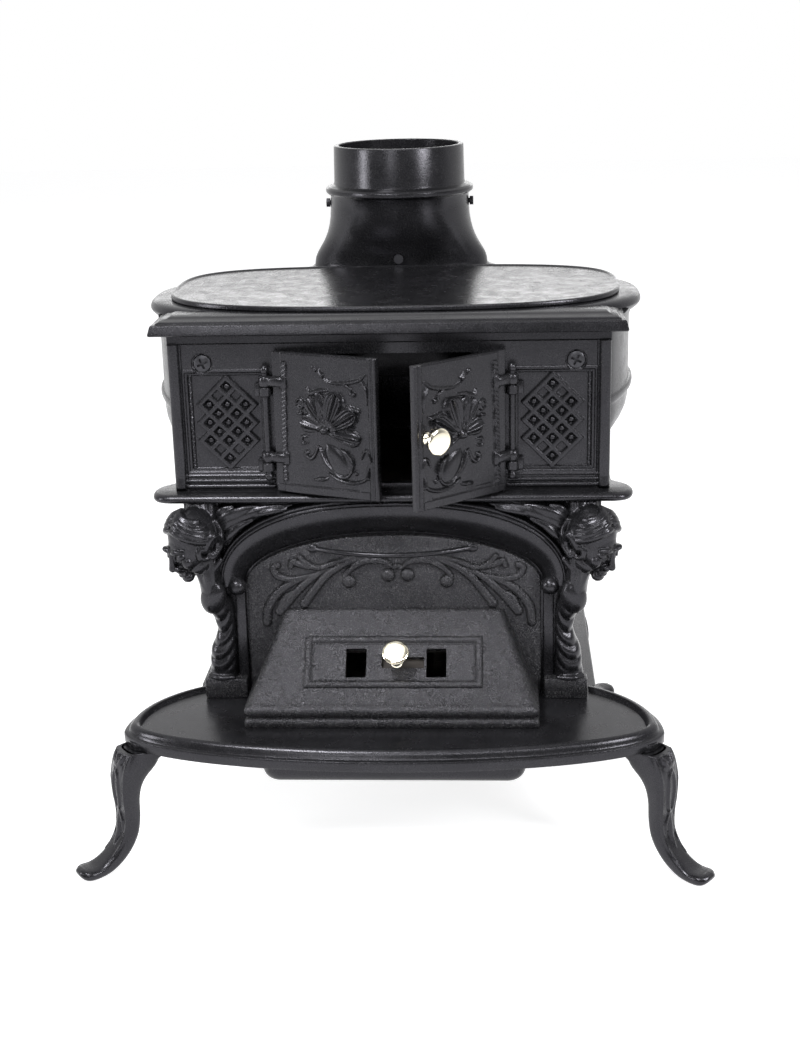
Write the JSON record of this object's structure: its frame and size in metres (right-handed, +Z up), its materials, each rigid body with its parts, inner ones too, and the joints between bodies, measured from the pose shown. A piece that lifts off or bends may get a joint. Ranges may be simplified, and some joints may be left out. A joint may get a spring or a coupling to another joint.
{
  "type": "cast iron parlour stove",
  "caption": "Small black cast-iron parlour stove with oval hearth, cabriole legs, lift-off draught hood, twin fire doors with latticework, bowed sides and an oblong-to-round flue boot.",
  "frame": {"origin": "on the floor, under the middle of the stove's bounding box", "axes": "+Z up, -Y out of the front, +X to the viewer's right"},
  "size_m": [0.5358, 0.4834, 0.568],
  "materials": {
    "stove_black": "stove black, satin, slightly grainy",
    "raw_iron": "dull, sooty",
    "screw_steel": "blackened, oily",
    "knob_brass": "polished"
  },
  "bodies": {
    "stove_body": {"hearth_plate": "stove_black", "ash_well": "stove_black", "leg_front_left": "stove_black", "leg_front_right": "stove_black", "leg_rear_left": "stove_black", "leg_rear_right": "stove_black", "lower_front": "stove_black", "corbel_left": "stove_black", "corbel_right": "stove_black", "lower_side_left": "stove_black", "lower_side_right": "stove_black", "mantel_frame": "stove_black", "upper_front": "stove_black", "bowed_side_left": "stove_black", "bowed_side_right": "stove_black", "back_panel": "stove_black", "smoke_box": "stove_black", "cornice": "stove_black", "top_cover": "stove_black", "flue_boot": "stove_black", "grate": "raw_iron", "back_liner": "raw_iron", "side_liner_left": "raw_iron", "side_liner_right": "raw_iron", "leg_bolt_front_left": "screw_steel", "leg_bolt_front_right": "screw_steel", "leg_bolt_rear_left": "screw_steel", "leg_bolt_rear_right": "screw_steel", "ash_well_screw_front_left": "screw_steel", "ash_well_screw_front_right": "screw_steel", "ash_well_screw_rear_left": "screw_steel", "ash_well_screw_rear_right": "screw_steel", "corbel_bolt_left": "screw_steel", "corbel_bolt_right": "screw_steel", "front_screw_left": "screw_steel", "front_screw_right": "screw_steel", "smoke_box_screw_1": "screw_steel", "smoke_box_screw_2": "screw_steel", "smoke_box_screw_3": "screw_steel", "smoke_box_screw_4": "screw_steel", "flue_screw_front": "screw_steel", "flue_screw_rear": "screw_steel", "pipe_screw_left": "screw_steel", "pipe_screw_right": "screw_steel", "tie_rod_front_left": "screw_steel", "tie_rod_front_right": "screw_steel", "tie_rod_rear_left": "screw_steel", "tie_rod_rear_right": "screw_steel", "hinge_pin_left": "screw_steel", "hinge_pin_right": "screw_steel"},
    "left_door": {"left_door": "stove_black"},
    "right_door": {"right_door": "stove_black"},
    "door_turn": {"door_knob": "knob_brass", "door_latch": "screw_steel"},
    "hood": {"front_hood": "stove_black", "hood_handle": "screw_steel"},
    "slider": {"draught_slider": "screw_steel", "slider_knob": "knob_brass"},
    "ash_pan": {"ash_pan": "raw_iron"}
  },
  "joints": [
    {"name": "left_door_hinge", "type": "hinge", "parent": "stove_body", "child": "left_door", "pos_m": [-0.1025, -0.1157, 0.366], "axis": [0, 0, -1], "range_deg": [-20.4, 84.6]},
    {"name": "right_door_hinge", "type": "hinge", "parent": "stove_body", "child": "right_door", "pos_m": [0.1025, -0.1157, 0.366], "axis": [0, 0, 1], "range_deg": [-40.4, 64.6]},
    {"name": "door_latch_turn", "type": "hinge", "parent": "right_door", "child": "door_turn", "pos_m": [0.03263, -0.17123, 0.366], "axis": [0.6481, -0.7615, 0], "range_deg": [0, 90]},
    {"name": "hood_lift", "type": "slide", "parent": "stove_body", "child": "hood", "axis": [0, -0.9929, 0.1191], "range_m": [0, 0.15]},
    {"name": "draught_slide", "type": "slide", "parent": "hood", "child": "slider", "axis": [1, 0, 0], "range_m": [-0.009, 0.018]},
    {"name": "ash_pan_slide", "type": "slide", "parent": "stove_body", "child": "ash_pan", "axis": [0, -1, 0], "range_m": [0, 0.12]}
  ]
}
